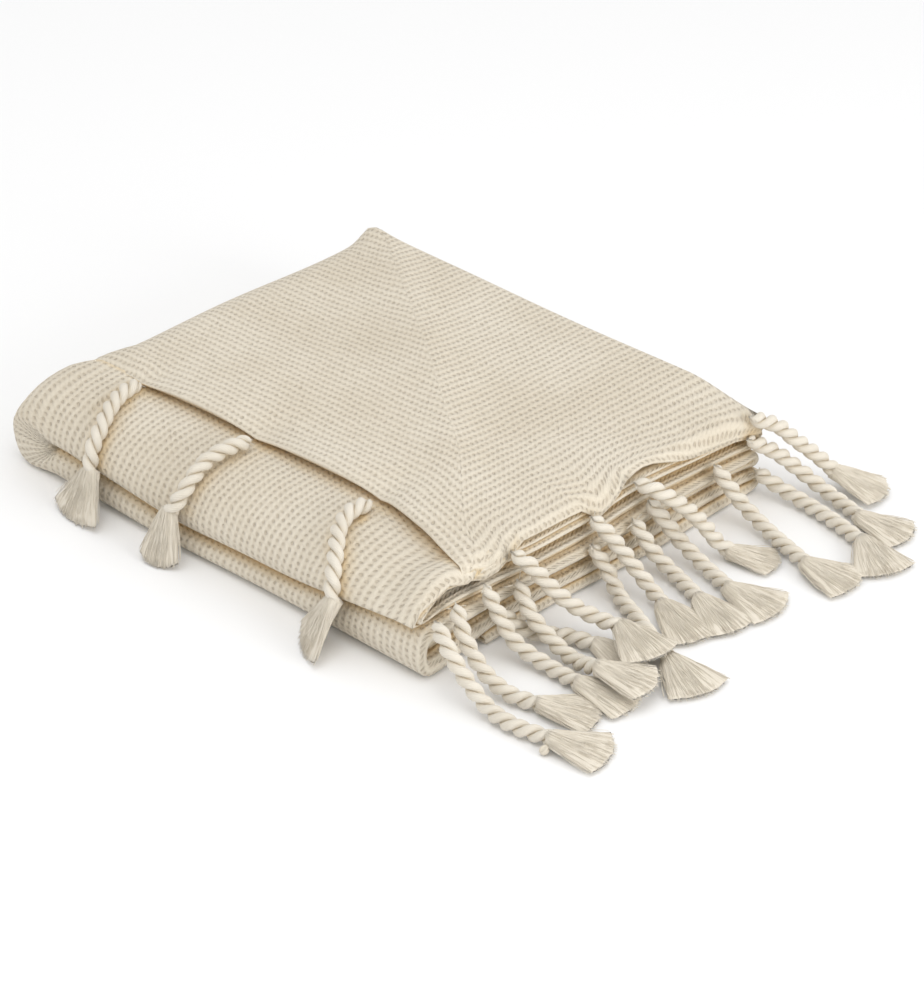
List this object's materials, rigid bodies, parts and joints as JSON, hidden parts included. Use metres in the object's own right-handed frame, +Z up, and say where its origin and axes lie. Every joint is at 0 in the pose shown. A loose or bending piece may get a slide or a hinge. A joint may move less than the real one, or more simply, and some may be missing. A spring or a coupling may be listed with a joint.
{
  "type": "folded throw blanket",
  "caption": "Chunky knitted cotton throw folded into a soft rectangular pile, with twisted rope fringe and fanned tassels along two edges.",
  "frame": {"origin": "on the table under the middle of the folded pile", "axes": "+X towards the ply ends that carry the fringe, -Y towards the side with the two rolled folds, +Z up"},
  "size_m": [0.5198, 0.4077, 0.07],
  "materials": {
    "knit": "matt cream cotton knit with small raised stitches and tiny dark holes between them",
    "rope_yarn": "soft two-strand twisted cream cotton yarn, matt with a faint sheen",
    "loose_yarn": "fine untwisted cream cotton yarn, matt with a faint sheen"
  },
  "bodies": {
    "root": {"knitted_panel": "knit", "edge_hitch_01": "rope_yarn", "fringe_rope_01": "rope_yarn", "fringe_tassel_01": "loose_yarn", "edge_hitch_02": "rope_yarn", "fringe_rope_02": "rope_yarn", "fringe_tassel_02": "loose_yarn", "edge_hitch_03": "rope_yarn", "fringe_rope_03": "rope_yarn", "fringe_tassel_03": "loose_yarn", "edge_hitch_04": "rope_yarn", "fringe_rope_04": "rope_yarn", "fringe_tassel_04": "loose_yarn", "edge_hitch_05": "rope_yarn", "fringe_rope_05": "rope_yarn", "fringe_tassel_05": "loose_yarn", "edge_hitch_06": "rope_yarn", "fringe_rope_06": "rope_yarn", "fringe_tassel_06": "loose_yarn", "edge_hitch_07": "rope_yarn", "fringe_rope_07": "rope_yarn", "fringe_tassel_07": "loose_yarn", "edge_hitch_08": "rope_yarn", "fringe_rope_08": "rope_yarn", "fringe_tassel_08": "loose_yarn", "edge_hitch_09": "rope_yarn", "fringe_rope_09": "rope_yarn", "fringe_tassel_09": "loose_yarn", "edge_hitch_10": "rope_yarn", "fringe_rope_10": "rope_yarn", "fringe_tassel_10": "loose_yarn", "edge_hitch_11": "rope_yarn", "fringe_rope_11": "rope_yarn", "fringe_tassel_11": "loose_yarn", "edge_hitch_12": "rope_yarn", "fringe_rope_12": "rope_yarn", "fringe_tassel_12": "loose_yarn", "edge_hitch_13": "rope_yarn", "fringe_rope_13": "rope_yarn", "fringe_tassel_13": "loose_yarn", "edge_hitch_14": "rope_yarn", "fringe_rope_14": "rope_yarn", "fringe_tassel_14": "loose_yarn", "edge_hitch_15": "rope_yarn", "fringe_rope_15": "rope_yarn", "fringe_tassel_15": "loose_yarn", "edge_hitch_16": "rope_yarn", "fringe_rope_16": "rope_yarn", "fringe_tassel_16": "loose_yarn", "edge_hitch_17": "rope_yarn", "fringe_rope_17": "rope_yarn", "fringe_tassel_17": "loose_yarn", "edge_hitch_18": "rope_yarn", "fringe_rope_18": "rope_yarn", "fringe_tassel_18": "loose_yarn", "tie_knot": "rope_yarn"}
  },
  "joints": []
}
